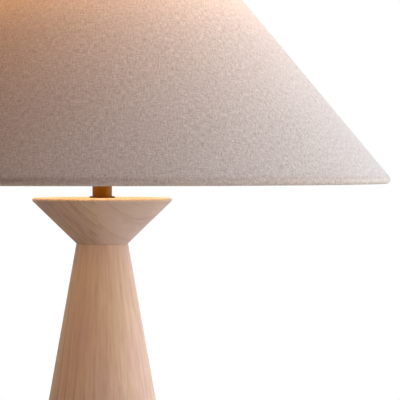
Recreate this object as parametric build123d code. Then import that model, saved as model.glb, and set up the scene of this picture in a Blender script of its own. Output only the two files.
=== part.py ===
from build123d import *
import os
from math import acos, asin, atan2, cos, degrees, hypot, radians, sin, sqrt, tan

# A turned wooden table lamp: a tall cone for a column, a flared capital, a short brass
# neck, and a wide linen cone shade that hangs from a wire harp over the bulb.
# The origin is the middle of the felt's underside, +Z is up and -Y is the front.
# Every size is in millimetres.

# Clearances
GLUE_GAP = 0.1
THREAD_GAP = 0.05
SLIDE_GAP = 0.3
WOOD_HOLE_GAP = 0.4
CUT_OVERRUN = 1.0

# Felt pad and turned column
FELT_THICKNESS = 2.0
FELT_INSET = 4.0
BASE_DIAMETER = 178.0
WAIST_DIAMETER = 50.5
COLUMN_HEIGHT = 360.0
BASE_EDGE_ROUND = 2.0
JOINT_BEVEL = 0.5

# Cast weight in the base's recess, and the space for the cord below it
WEIGHT_DIAMETER = 120.0
WEIGHT_THICKNESS = 14.0
WEIGHT_BEVEL = 1.5
WEIGHT_GAP = 0.5
CORD_SPARE = 3.0

# Flared capital with the spigot that centres it in the column
CAPITAL_DIAMETER = 141.7
CAPITAL_HEIGHT = 45.0
CAPITAL_RIM_ROUND = 2.0
CAPITAL_FOOT_LAND = 0.8
SPIGOT_DIAMETER = 30.0
SPIGOT_LENGTH = 14.0
SPIGOT_END_GAP = 0.5

# Threaded pipe that clamps the lamp together
PIPE_DIAMETER = 9.6
PIPE_WALL = 1.5
PIPE_TAIL = 2.0
PIPE_END_SETBACK = 1.0
WASHER_LIP = 11.0
WASHER_THICKNESS = 2.0
NUT_WALL = 2.4
NUT_THICKNESS = 4.5

# Cord inlet at the back of the base
INLET_BORE = 7.5
INLET_WALL = 1.75
INLET_LENGTH = 14.0
INLET_FLANGE_LIP = 2.5
INLET_FLANGE_THICKNESS = 2.0
INLET_MOUTH_ROUND = 1.0
INLET_FOOT = 6.0
INLET_SEAT_DEPTH = 0.2

# Brass neck on its check ring
NECK_DIAMETER = 19.0
NECK_WALL = 1.5
NECK_HEIGHT = 37.5
NECK_TOP_THICKNESS = 2.0
CHECK_RING_LIP = 2.75
CHECK_RING_THICKNESS = 1.5
CHECK_RING_BOSS_HEIGHT = 2.5
CHECK_RING_ROUND = 0.5

# Harp saddle, a strip with two tabs bent up
SADDLE_SPAN = 64.0
SADDLE_WIDTH = 15.0
SADDLE_THICKNESS = 2.0
SADDLE_BEND = 4.0
SADDLE_EYE_WALL = 4.5
TAB_SHOULDER = 9.0
TAB_TIP_LENGTH = 10.0
TAB_TIP_WIDTH = 4.4

# Wire harp, its sliding ferrules and the seat with its threaded stud
HARP_HEIGHT = 203.0
HARP_WIDTH = 114.0
HARP_WIRE = 4.5
HARP_KNEE_RUN = 10.0
HARP_CROWN_RUN = 17.0
HARP_STRAIGHT_SPARE = 2.0
HARP_FLARE_SHARE = 0.32
HARP_ARCH_SHARE = 0.66
BEND_SHARE = 0.45
FERRULE_LENGTH = 20.0
FERRULE_WALL = 1.2
FERRULE_LIFT = 14.0
FERRULE_COLLAR = 3.0
FERRULE_COLLAR_LIP = 0.6
COLLAR_DIAMETER = 14.0
COLLAR_HEIGHT = 9.0
SEAT_LIP = 2.0
SEAT_THICKNESS = 2.0
STUD_DIAMETER = 6.35
STUD_LENGTH = 12.0

# Lampholder, from the bulb's cap outwards
SCREW_SHELL_WALL = 0.4
SCREW_SHELL_HEIGHT = 23.5
SCREW_GAP = 0.35
INSULATION_GAP = 0.75
LINER_WALL = 0.8
LINER_SETBACK = 1.5
SHELL_WALL = 0.6
SHELL_HEIGHT = 44.5
SHELL_BEAD = 0.7
SHELL_BEAD_HEIGHT = 1.6
HOLDER_CAP_WALL = 0.9
HOLDER_CAP_HEIGHT = 20.0
HOLDER_CAP_RIM = 7.0
HUB_HEIGHT = 7.0
HUB_WALL = 2.6
CORE_HEIGHT = 17.0
CORE_FLANGE = 3.0
CORE_WAIST_DEPTH = 2.4
CONTACT_STRIP = 0.5
CONTACT_WIDTH = 5.0
CONTACT_REACH = 5.0
CONTACT_RISE = 2.6
CONTACT_STEP = 1.7
CONTACT_BEND = 0.8
TERMINAL_HEAD = 6.5
TERMINAL_HEAD_HEIGHT = 1.6
TERMINAL_SLOT = 0.9
TERMINAL_SHANK = 3.0
TERMINAL_LENGTH = 5.0

# Turn switch on the lampholder's front
SPINDLE_DIAMETER = 5.0
SPINDLE_DEPTH = 7.0
SPINDLE_HOLE_GAP = 1.0
KNOB_DIAMETER = 13.0
KNOB_LENGTH = 14.0
KNOB_STANDOFF = 2.0
KNOB_SOCKET = 9.0
KNOB_FLUTES = 14
KNOB_FLUTE_DIAMETER = 1.8
KNOB_ROUND = 1.0

# Bulb
BULB_CAP_DIAMETER = 26.0
BULB_CAP_HEIGHT = 21.0
BULB_CAP_WALL = 0.5
BULB_TIP_DIAMETER = 9.0
BULB_TIP_HEIGHT = 1.2
BULB_TIP_ROUND = 0.6
INSULATOR_HEIGHT = 3.5
INSULATOR_TAPER = 7.0
GLOBE_DIAMETER = 60.0
GLOBE_RISE = 46.0
GLOBE_NECK_LIP = 0.6
GLOBE_WALL = 0.8
GLOBE_LIP_LENGTH = 4.0
STEM_DIAMETER = 6.0
STEM_HEIGHT = 22.0
STEM_FOOT_THICKNESS = 1.5
STEM_TABLE_DIAMETER = 16.0
STEM_TABLE_THICKNESS = 1.2
FILAMENT_COUNT = 4
FILAMENT_DIAMETER = 1.8
FILAMENT_LENGTH = 32.0
FILAMENT_CIRCLE = 12.0
FILAMENT_FIRST_ANGLE = 45.0

# Linen cone shade on two wire rings, with its spider
SHADE_BOTTOM_DIAMETER = 559.0
SHADE_TOP_DIAMETER = 158.0
SHADE_HEIGHT = 249.0
COVER_THICKNESS = 1.0
BACKING_THICKNESS = 0.8
BACKING_SETBACK = 0.3
RING_WIRE = 5.1
HEM_GAP = 0.45
HEM_DEPTH = 8.0
SPIDER_RISE = 19.0
SPIDER_WIRE = 3.5
SPIDER_ARMS = 3
SPIDER_FLAT = 8.0
SPIDER_WASHER_DIAMETER = 26.0
SPIDER_WASHER_THICKNESS = 2.0
SPIDER_FIRST_ARM = 90.0

# Turned finial
FINIAL_FOOT_DIAMETER = 17.0
FINIAL_FOOT_HEIGHT = 2.5
FINIAL_NECK_WALL = 1.8
FINIAL_COVE_HEIGHT = 4.5
FINIAL_BALL_DIAMETER = 18.0
FINIAL_BORE_SPARE = 1.0

# Cord inlet, on a flat seat in the back of the base
column_bottom = FELT_THICKNESS
inlet_radius = INLET_BORE / 2 + INLET_WALL
inlet_flange = inlet_radius + INLET_FLANGE_LIP
inlet_seat = inlet_flange + WOOD_HOLE_GAP
inlet_height = column_bottom + INLET_FOOT + inlet_flange

# Heights up the lamp
column_top = column_bottom + COLUMN_HEIGHT
capital_top = column_top + CAPITAL_HEIGHT
weight_bottom = inlet_height + inlet_radius + CORD_SPARE
weight_top = weight_bottom + WEIGHT_THICKNESS
washer_bottom = weight_bottom - WASHER_THICKNESS
nut_bottom = washer_bottom - NUT_THICKNESS
neck_bottom = capital_top + CHECK_RING_THICKNESS
saddle_bottom = neck_bottom + NECK_HEIGHT
holder_bottom = saddle_bottom + SADDLE_THICKNESS
shoulder_height = saddle_bottom + TAB_SHOULDER
tip_height = shoulder_height + TAB_TIP_LENGTH
harp_seat = holder_bottom + HARP_HEIGHT
harp_crown = harp_seat - SEAT_THICKNESS - COLLAR_HEIGHT / 2
shell_bottom = holder_bottom + HOLDER_CAP_HEIGHT - HOLDER_CAP_RIM
shell_top = shell_bottom + SHELL_HEIGHT
core_bottom = shell_bottom + LINER_SETBACK
core_top = core_bottom + CORE_HEIGHT
core_middle = core_bottom + CORE_HEIGHT / 2
bulb_tip = core_top + CONTACT_RISE + CONTACT_STRIP + SLIDE_GAP
insulator_bottom = bulb_tip + BULB_TIP_HEIGHT
bulb_cap_bottom = insulator_bottom + INSULATOR_HEIGHT
bulb_cap_top = bulb_cap_bottom + BULB_CAP_HEIGHT
globe_bottom = bulb_cap_top + GLUE_GAP
globe_middle = globe_bottom + GLOBE_RISE
shade_top = harp_seat + SPIDER_RISE
shade_bottom = shade_top - SHADE_HEIGHT
finial_bottom = harp_seat + SPIDER_WASHER_THICKNESS

# Radii that follow from the driving sizes
base_radius = BASE_DIAMETER / 2
waist_radius = WAIST_DIAMETER / 2
weight_radius = WEIGHT_DIAMETER / 2
pipe_radius = PIPE_DIAMETER / 2
pipe_hole = pipe_radius + THREAD_GAP
wood_hole = pipe_radius + WOOD_HOLE_GAP
spigot_radius = SPIGOT_DIAMETER / 2
neck_radius = NECK_DIAMETER / 2
neck_inside = neck_radius - NECK_WALL
wire_radius = HARP_WIRE / 2
stud_radius = STUD_DIAMETER / 2
tip_reach = hypot(TAB_TIP_WIDTH, SADDLE_THICKNESS) / 2
ferrule_bore = max(tip_reach, wire_radius) + SLIDE_GAP
bulb_cap_radius = BULB_CAP_DIAMETER / 2
screw_inside = bulb_cap_radius + SCREW_GAP
screw_outside = screw_inside + SCREW_SHELL_WALL
liner_inside = screw_outside + INSULATION_GAP
liner_outside = liner_inside + LINER_WALL
shell_inside = liner_outside + GLUE_GAP
shell_outside = shell_inside + SHELL_WALL
holder_cap_inside = shell_outside + GLUE_GAP
holder_cap_outside = holder_cap_inside + HOLDER_CAP_WALL
core_flange_radius = liner_inside - SLIDE_GAP
core_waist_radius = core_flange_radius - CORE_WAIST_DEPTH
spindle_radius = SPINDLE_DIAMETER / 2
knob_front = shell_outside + KNOB_STANDOFF + KNOB_LENGTH
globe_radius = GLOBE_DIAMETER / 2
globe_neck = bulb_cap_radius + GLOBE_NECK_LIP
globe_lip = bulb_cap_radius - BULB_CAP_WALL - GLUE_GAP

# The shade's slant, with both hems rolled round their ring wires
ring_radius = RING_WIRE / 2
hem_inside = ring_radius + HEM_GAP
hem_outside = hem_inside + COVER_THICKNESS
bottom_wire = Vector(SHADE_BOTTOM_DIAMETER / 2 - hem_outside, shade_bottom + hem_outside)
top_wire = Vector(SHADE_TOP_DIAMETER / 2 - hem_outside, shade_top - hem_outside)
slant_up = (top_wire - bottom_wire).normalized()
slant_out = Vector(slant_up.Y, -slant_up.X)


def column_radius(height):
    """The column's outside radius at a height."""
    share = (height - column_bottom) / COLUMN_HEIGHT
    return base_radius + (waist_radius - base_radius) * share


seat_edge_radius = column_radius(inlet_height + inlet_seat)
inlet_seat_y = sqrt(seat_edge_radius**2 - inlet_seat**2) - INLET_SEAT_DEPTH
inlet_plane = Plane(origin=(0, inlet_seat_y, inlet_height), x_dir=(-1, 0, 0), z_dir=(0, 1, 0))


def turned(*points):
    """A solid turned about the lamp's axis from (radius, height) corners."""
    return revolve(Plane.XZ * make_face(Polyline(*points, close=True)), Axis.Z)


def turned_edges(edges):
    """A solid turned about the lamp's axis from a closed run of lines and arcs."""
    return revolve(Plane.XZ * make_face(edges), Axis.Z)


def disc(radius, bottom, top):
    """A round plate or plug on the lamp's axis."""
    return extrude(Plane.XY.offset(bottom) * Circle(radius), top - bottom)


def ring(outside, inside, bottom, top):
    """A washer or tube on the lamp's axis."""
    return extrude(Plane.XY.offset(bottom) * (Circle(outside) - Circle(inside)), top - bottom)


def round_edges(solid):
    """A solid's circular edges, from the lowest to the highest."""
    return solid.edges().filter_by(GeomType.CIRCLE).sort_by(Axis.Z)


def bent_wire(path, radius):
    """Round wire along a path of straight runs and tangent arcs."""
    return sweep(Plane(path @ 0, z_dir=path % 0) * Circle(radius), path=path)


def felt_pad():
    return disc(base_radius - FELT_INSET, 0, column_bottom)


def base_weight():
    body = ring(weight_radius, wood_hole, weight_bottom, weight_top)
    halfway = (wood_hole + weight_radius) / 2
    rims = body.edges().filter_by(GeomType.CIRCLE).filter_by(lambda e: e.radius > halfway)
    return chamfer(rims, WEIGHT_BEVEL)


def column():
    body = turned(
        (0, column_bottom),
        (base_radius, column_bottom),
        (waist_radius, column_top),
        (0, column_top),
    )
    body = fillet(round_edges(body)[0], BASE_EDGE_ROUND)
    body = chamfer(round_edges(body)[-1], JOINT_BEVEL)
    body -= disc(weight_radius + WEIGHT_GAP, column_bottom, weight_top)
    body -= disc(wood_hole, weight_top, column_top)
    socket_floor = column_top - SPIGOT_LENGTH - SPIGOT_END_GAP
    body -= disc(spigot_radius + GLUE_GAP, socket_floor, column_top)
    body -= extrude(inlet_plane * Circle(inlet_seat), base_radius)
    body -= extrude(inlet_plane * Circle(inlet_radius + GLUE_GAP), weight_radius - inlet_seat_y)
    return body


def cord_bushing():
    body = extrude(inlet_plane * Circle(inlet_radius), -INLET_LENGTH)
    flange = extrude(inlet_plane * Circle(inlet_flange), INLET_FLANGE_THICKNESS)
    flange = fillet(flange.edges().sort_by(Axis.Y)[-1], INLET_MOUTH_ROUND)
    body += flange
    bore = extrude(inlet_plane.offset(-INLET_LENGTH) * Circle(INLET_BORE / 2),
                   INLET_LENGTH + INLET_FLANGE_THICKNESS)
    body -= bore
    mouth = body.edges().filter_by(GeomType.CIRCLE).filter_by(lambda e: e.radius < inlet_radius)
    return fillet(mouth.sort_by(Axis.Y)[-1], INLET_MOUTH_ROUND)


def capital():
    body = turned(
        (0, column_top),
        (waist_radius, column_top),
        (waist_radius, column_top + CAPITAL_FOOT_LAND),
        (CAPITAL_DIAMETER / 2, capital_top),
        (0, capital_top),
    )
    body = fillet(round_edges(body)[-1], CAPITAL_RIM_ROUND)
    body = chamfer(round_edges(body)[0], JOINT_BEVEL)
    body += disc(spigot_radius, column_top - SPIGOT_LENGTH, column_top)
    return body - disc(wood_hole, column_top - SPIGOT_LENGTH, capital_top)


def lamp_pipe():
    top = holder_bottom + HUB_HEIGHT - PIPE_END_SETBACK
    return ring(pipe_radius, pipe_radius - PIPE_WALL, nut_bottom - PIPE_TAIL, top)


def pipe_washer():
    return ring(pipe_radius + WASHER_LIP, pipe_radius + SLIDE_GAP, washer_bottom, weight_bottom)


def pipe_nut():
    outline = RegularPolygon(pipe_hole + NUT_WALL, 6, major_radius=False) - Circle(pipe_hole)
    return extrude(Plane.XY.offset(nut_bottom) * outline, NUT_THICKNESS)


def check_ring():
    boss = neck_inside - SLIDE_GAP
    body = turned(
        (pipe_hole, capital_top),
        (neck_radius + CHECK_RING_LIP, capital_top),
        (neck_radius + CHECK_RING_LIP, neck_bottom),
        (boss, neck_bottom),
        (boss, neck_bottom + CHECK_RING_BOSS_HEIGHT),
        (pipe_hole, neck_bottom + CHECK_RING_BOSS_HEIGHT),
    )
    rims = body.edges().filter_by(GeomType.CIRCLE).filter_by(lambda e: e.radius > neck_radius)
    return fillet(rims.sort_by(Axis.Z)[-1], CHECK_RING_ROUND)


def neck():
    web = saddle_bottom - NECK_TOP_THICKNESS
    return turned(
        (neck_radius, neck_bottom),
        (neck_radius, saddle_bottom),
        (pipe_hole, saddle_bottom),
        (pipe_hole, web),
        (neck_inside, web),
        (neck_inside, neck_bottom),
    )


def harp_saddle():
    half = SADDLE_SPAN / 2
    middle = saddle_bottom + SADDLE_THICKNESS / 2
    bends = FilletPolyline(
        (-half, tip_height), (-half, middle), (half, middle), (half, tip_height),
        radius=SADDLE_BEND,
    )
    strip = Plane.XZ * trace(bends, SADDLE_THICKNESS)
    body = extrude(strip, SADDLE_WIDTH / 2, both=True)
    eye = pipe_radius + SADDLE_EYE_WALL
    body += disc(eye, saddle_bottom, holder_bottom)
    waste = (SADDLE_WIDTH - TAB_TIP_WIDTH) / 2
    for side in (-1, 1):
        place = Pos(0, side * (TAB_TIP_WIDTH + waste) / 2, shoulder_height + TAB_TIP_LENGTH / 2)
        body -= place * Box(SADDLE_SPAN + 2 * SADDLE_THICKNESS, waste, TAB_TIP_LENGTH)
    return body - disc(pipe_hole, saddle_bottom, holder_bottom)


def even_run(before, corner, after):
    """The length of each leg that a corner's arc may take, so that two arcs fit on a leg."""
    return BEND_SHARE * min((corner - before).length, (after - corner).length)


def arc_radius(before, corner, after, run):
    """The radius of the arc that takes a given length of both legs of a corner."""
    return run / tan(radians((corner - before).get_angle(after - corner)) / 2)


def harp_bow():
    leg = SADDLE_SPAN / 2
    widest = HARP_WIDTH / 2
    crown_half = COLLAR_DIAMETER / 2 + HARP_STRAIGHT_SPARE + HARP_CROWN_RUN
    lifted_ferrule = shoulder_height + FERRULE_LENGTH + FERRULE_LIFT
    knee_height = lifted_ferrule + HARP_STRAIGHT_SPARE + HARP_KNEE_RUN
    climb = harp_crown - knee_height
    foot = Vector(leg, 0, tip_height)
    knee = Vector(leg, 0, knee_height)
    flare = Vector(widest, 0, knee_height + HARP_FLARE_SHARE * climb)
    arch = Vector(widest, 0, knee_height + HARP_ARCH_SHARE * climb)
    crown = Vector(crown_half, 0, harp_crown)
    right = [crown, arch, flare, knee, foot]
    left = [Vector(-p.X, 0, p.Z) for p in reversed(right)]
    climbing = [
        arc_radius(foot, knee, flare, HARP_KNEE_RUN),
        arc_radius(knee, flare, arch, even_run(knee, flare, arch)),
        arc_radius(flare, arch, crown, even_run(flare, arch, crown)),
        arc_radius(arch, crown, left[-1], HARP_CROWN_RUN),
    ]
    path = FilletPolyline(*left, *right, radius=climbing + climbing[::-1])
    return bent_wire(path, wire_radius)


def harp_stud():
    collar = COLLAR_DIAMETER / 2
    seat_bottom = harp_seat - SEAT_THICKNESS
    body = disc(collar, seat_bottom - COLLAR_HEIGHT, seat_bottom)
    body += disc(collar + SEAT_LIP, seat_bottom, harp_seat)
    body += disc(stud_radius, harp_seat, harp_seat + STUD_LENGTH)
    across = Plane(origin=(0, 0, harp_crown), z_dir=(1, 0, 0))
    return body - extrude(across * Circle(wire_radius + THREAD_GAP), COLLAR_DIAMETER, both=True)


def ferrule(side):
    body = ring(ferrule_bore + FERRULE_WALL, ferrule_bore, 0, FERRULE_LENGTH)
    collar = ferrule_bore + FERRULE_WALL + FERRULE_COLLAR_LIP
    body += ring(collar, ferrule_bore, 0, FERRULE_COLLAR)
    return Pos(side * SADDLE_SPAN / 2, 0, shoulder_height) * body


def socket_cap():
    foot = pipe_hole + HUB_WALL
    hub_top = holder_bottom + HUB_HEIGHT
    rim_top = shell_bottom + HOLDER_CAP_RIM
    spread = holder_cap_outside - foot
    rise = shell_bottom - holder_bottom
    bowl = (spread**2 + rise**2) / (2 * spread)
    bowl_centre = Vector(holder_cap_outside - bowl, shell_bottom)
    bowl_inside = bowl - HOLDER_CAP_WALL
    outside_turn = degrees(acos((foot - bowl_centre.X) / bowl))
    outer = CenterArc(bowl_centre, bowl, 0, -outside_turn)
    inside_turn = degrees(acos((foot - bowl_centre.X) / bowl_inside))
    inner = CenterArc(bowl_centre, bowl_inside, 0, -inside_turn)
    return turned_edges([
        Polyline((pipe_hole, hub_top), (pipe_hole, holder_bottom), outer @ 1),
        outer,
        Polyline(outer @ 0, (holder_cap_outside, rim_top), (holder_cap_inside, rim_top), inner @ 0),
        inner,
        Polyline(inner @ 1, (foot, hub_top), (pipe_hole, hub_top)),
    ])


def spindle_hole(reach):
    """A round hole for the switch spindle, from the lamp's axis out through the front."""
    front = Plane(origin=(0, 0, core_middle), x_dir=(1, 0, 0), z_dir=(0, -1, 0))
    return extrude(front * Circle(spindle_radius + SPINDLE_HOLE_GAP), reach)


def socket_shell():
    body = ring(shell_outside, shell_inside, shell_bottom, shell_top)
    body += ring(shell_outside + SHELL_BEAD, shell_inside, shell_top - SHELL_BEAD_HEIGHT, shell_top)
    return body - spindle_hole(shell_outside + CUT_OVERRUN)


def shell_liner():
    bottom = shell_bottom + LINER_SETBACK
    body = ring(liner_outside, liner_inside, bottom, shell_top - LINER_SETBACK)
    return body - spindle_hole(liner_outside + CUT_OVERRUN)


def terminal_plane(side):
    """Flat place on the core's waist where a terminal screw stands."""
    return Plane(origin=(side * core_waist_radius, 0, core_middle), z_dir=(side, 0, 0))


def socket_core():
    body = turned(
        (0, core_bottom),
        (core_flange_radius, core_bottom),
        (core_flange_radius, core_bottom + CORE_FLANGE),
        (core_waist_radius, core_bottom + CORE_FLANGE),
        (core_waist_radius, core_top - CORE_FLANGE),
        (core_flange_radius, core_top - CORE_FLANGE),
        (core_flange_radius, core_top),
        (0, core_top),
    )
    front = Plane(origin=(0, -core_waist_radius, core_middle), x_dir=(1, 0, 0), z_dir=(0, -1, 0))
    body -= extrude(front * Circle(spindle_radius + SLIDE_GAP), -SPINDLE_DEPTH - SLIDE_GAP)
    body -= extrude(front * Circle(spindle_radius + SLIDE_GAP), CORE_WAIST_DEPTH)
    for side in (-1, 1):
        place = terminal_plane(side)
        body -= extrude(place * Circle(TERMINAL_SHANK / 2 + THREAD_GAP), -TERMINAL_LENGTH)
        body -= extrude(place.offset(-THREAD_GAP) * Circle(TERMINAL_HEAD / 2), CORE_WAIST_DEPTH)
    return body


def terminal_screws():
    screws = []
    for side in (-1, 1):
        place = terminal_plane(side)
        screw = extrude(place * Circle(TERMINAL_HEAD / 2), TERMINAL_HEAD_HEIGHT)
        screw += extrude(place * Circle(TERMINAL_SHANK / 2), -TERMINAL_LENGTH)
        slot = place.offset(TERMINAL_HEAD_HEIGHT / 2) * Rectangle(TERMINAL_HEAD, TERMINAL_SLOT)
        screws.append(screw - extrude(slot, TERMINAL_HEAD_HEIGHT))
    return Compound(children=screws)


def contact_window():
    """Radius of the hole in the screw shell's floor, clear of the centre contact."""
    return hypot(CONTACT_REACH + CONTACT_STRIP, CONTACT_WIDTH / 2) + INSULATION_GAP


def screw_shell():
    top = core_top + SCREW_SHELL_HEIGHT
    floor = core_top + SCREW_SHELL_WALL
    return turned(
        (contact_window(), core_top),
        (screw_outside, core_top),
        (screw_outside, top),
        (screw_inside, top),
        (screw_inside, floor),
        (contact_window(), floor),
    )


def centre_contact():
    low = core_top + CONTACT_STRIP / 2
    high = low + CONTACT_RISE
    tongue = FilletPolyline(
        (-CONTACT_REACH, low), (-CONTACT_STEP, low), (CONTACT_STEP, high), (CONTACT_REACH, high),
        radius=CONTACT_BEND,
    )
    return extrude(Plane.YZ * trace(tongue, CONTACT_STRIP), CONTACT_WIDTH / 2, both=True)


def switch_spindle():
    end = SPINDLE_DEPTH + shell_outside - core_waist_radius + KNOB_STANDOFF + KNOB_SOCKET
    inner = Plane(
        origin=(0, SPINDLE_DEPTH - core_waist_radius, core_middle),
        x_dir=(1, 0, 0),
        z_dir=(0, -1, 0),
    )
    return extrude(inner * Circle(spindle_radius), end)


def switch_knob():
    back = Plane(
        origin=(0, KNOB_LENGTH - knob_front, core_middle), x_dir=(1, 0, 0), z_dir=(0, -1, 0)
    )
    body = extrude(back * Circle(KNOB_DIAMETER / 2), KNOB_LENGTH)
    body = fillet(body.edges().filter_by(GeomType.CIRCLE).sort_by(Axis.Y)[0], KNOB_ROUND)
    flutes = PolarLocations(KNOB_DIAMETER / 2, KNOB_FLUTES) * Circle(KNOB_FLUTE_DIAMETER / 2)
    body -= extrude(back * Sketch(children=flutes), KNOB_LENGTH)
    return body - extrude(back * Circle(spindle_radius + THREAD_GAP), KNOB_SOCKET)


def bulb_contact():
    body = disc(BULB_TIP_DIAMETER / 2, bulb_tip, insulator_bottom)
    return fillet(round_edges(body)[0], BULB_TIP_ROUND)


def bulb_insulator():
    wide = bulb_cap_radius - BULB_CAP_WALL
    return turned(
        (0, insulator_bottom),
        (wide - INSULATOR_TAPER, insulator_bottom),
        (wide, bulb_cap_bottom),
        (0, bulb_cap_bottom),
    )


def bulb_base():
    inside = bulb_cap_radius - BULB_CAP_WALL
    floor = bulb_cap_bottom + BULB_CAP_WALL
    return turned(
        (0, bulb_cap_bottom),
        (bulb_cap_radius, bulb_cap_bottom),
        (bulb_cap_radius, bulb_cap_top),
        (inside, bulb_cap_top),
        (inside, floor),
        (0, floor),
    )


def globe_arcs(thickness):
    """The bulb's hollow throat and round head, moved inwards by a thickness."""
    throat = (GLOBE_RISE**2 + globe_neck**2 - globe_radius**2) / (2 * (globe_radius - globe_neck))
    meet = degrees(asin(GLOBE_RISE / (globe_radius + throat)))
    hollow = CenterArc((globe_neck + throat, globe_bottom), throat + thickness, 180, -meet)
    head = CenterArc((0, globe_middle), globe_radius - thickness, -meet, 90 + meet)
    return hollow, head


def bulb_globe():
    hollow, head = globe_arcs(0)
    hollow_inside, head_inside = globe_arcs(GLOBE_WALL)
    lip_inside = globe_lip - GLOBE_WALL
    lip_bottom = bulb_cap_top - GLOBE_LIP_LENGTH
    lip = [(lip_inside, lip_bottom), (globe_lip, lip_bottom), (globe_lip, globe_bottom)]
    return turned_edges([
        Polyline(*lip, hollow @ 0),
        hollow,
        head,
        Line(head @ 1, head_inside @ 1),
        head_inside,
        hollow_inside,
        Polyline(hollow_inside @ 0, (lip_inside, globe_bottom), (lip_inside, lip_bottom)),
    ])


def bulb_stem():
    foot = globe_lip - GLOBE_WALL - GLUE_GAP
    foot_top = bulb_cap_top - GLOBE_LIP_LENGTH + STEM_FOOT_THICKNESS
    table_top = globe_bottom + STEM_HEIGHT
    body = disc(foot, foot_top - STEM_FOOT_THICKNESS, foot_top)
    body += disc(STEM_DIAMETER / 2, foot_top, table_top)
    body += disc(STEM_TABLE_DIAMETER / 2, table_top - STEM_TABLE_THICKNESS, table_top)
    return body


def bulb_filaments():
    bottom = globe_bottom + STEM_HEIGHT
    rod = disc(FILAMENT_DIAMETER / 2, bottom, bottom + FILAMENT_LENGTH)
    places = PolarLocations(FILAMENT_CIRCLE / 2, FILAMENT_COUNT, start_angle=FILAMENT_FIRST_ANGLE)
    return Compound(children=[place * rod for place in places])


def hem_point(wire, inwards, along, outwards):
    """A point beside a ring wire: so far in from the hem along the slant, so far outwards."""
    return wire + slant_up * inwards * along + slant_out * outwards


def hem(wire, inwards):
    """The cloth's section where it rolls round a ring wire and is glued to the backing."""
    glued = ring_radius - BACKING_THICKNESS - GLUE_GAP
    leave = atan2(glued, HEM_DEPTH) - acos(hem_inside / hypot(HEM_DEPTH, glued))
    halfway = (radians(90) + radians(360) + leave) / 2

    def on_roll(radius, angle):
        return hem_point(wire, inwards, radius * cos(angle), radius * sin(angle))

    end_inside = hem_point(wire, inwards, HEM_DEPTH, glued)
    end_outside = end_inside + on_roll(COVER_THICKNESS, leave) - wire
    turns = (radians(90), halfway, leave)
    outer = ThreePointArc(*(on_roll(hem_outside, turn) for turn in turns))
    inner = ThreePointArc(*(on_roll(hem_inside, turn) for turn in turns))
    return [outer, Polyline(outer @ 1, end_outside, end_inside, inner @ 1), inner]


def shade_cover():
    faces = [
        Line(bottom_wire + slant_out * depth, top_wire + slant_out * depth)
        for depth in (hem_outside, hem_inside)
    ]
    cone = turned_edges(hem(bottom_wire, 1) + hem(top_wire, -1) + faces)
    for slit in arms(SPIDER_WIRE / 2 + SLIDE_GAP, 0):
        cone -= slit
    return cone


def shade_liner():
    setback = ring_radius + BACKING_SETBACK
    corners = [
        hem_point(wire, inwards, setback, outwards)
        for wire, inwards, outwards in (
            (bottom_wire, 1, ring_radius),
            (top_wire, -1, ring_radius),
            (top_wire, -1, ring_radius - BACKING_THICKNESS),
            (bottom_wire, 1, ring_radius - BACKING_THICKNESS),
        )
    ]
    return turned(*corners)


def ring_at(wire):
    return Pos(0, 0, wire.Y) * Torus(wire.X, ring_radius)


def spider_washer():
    return ring(SPIDER_WASHER_DIAMETER / 2, stud_radius + SLIDE_GAP, harp_seat, finial_bottom)


def arms(radius, stop):
    """The spider's bent wires, from the washer's rim to a distance from the ring's middle."""
    level = (harp_seat + finial_bottom) / 2
    root = Vector(SPIDER_WASHER_DIAMETER / 2, 0, level)
    bend = root + Vector(SPIDER_FLAT, 0, 0)
    ring_centre = Vector(top_wire.X, 0, top_wire.Y)
    end = ring_centre - (ring_centre - bend).normalized() * stop
    turn = arc_radius(root, bend, end, even_run(root, bend, end))
    arm = bent_wire(FilletPolyline(root, bend, end, radius=turn), radius)
    step = 360 / SPIDER_ARMS
    return [Rot(0, 0, SPIDER_FIRST_ARM + step * i) * arm for i in range(SPIDER_ARMS)]


def spider_arms():
    return Compound(children=arms(SPIDER_WIRE / 2, hem_inside))


def finial():
    foot = FINIAL_FOOT_DIAMETER / 2
    bore = stud_radius + THREAD_GAP
    waist = bore + FINIAL_NECK_WALL
    ball = FINIAL_BALL_DIAMETER / 2
    cove_bottom = finial_bottom + FINIAL_FOOT_HEIGHT
    cove_top = cove_bottom + FINIAL_COVE_HEIGHT
    drop = sqrt(ball**2 - waist**2)
    ball_middle = cove_top + drop
    bore_top = harp_seat + STUD_LENGTH + FINIAL_BORE_SPARE
    low = degrees(atan2(-drop, waist))
    body = turned_edges([
        Polyline((0, finial_bottom), (foot, finial_bottom), (foot, cove_bottom)),
        TangentArc((waist, cove_top), (foot, cove_bottom), tangent=(0, -1)),
        CenterArc((0, ball_middle), ball, low, 90 - low),
        Line((0, ball_middle + ball), (0, finial_bottom)),
    ])
    return body - disc(bore, finial_bottom, bore_top)


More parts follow.
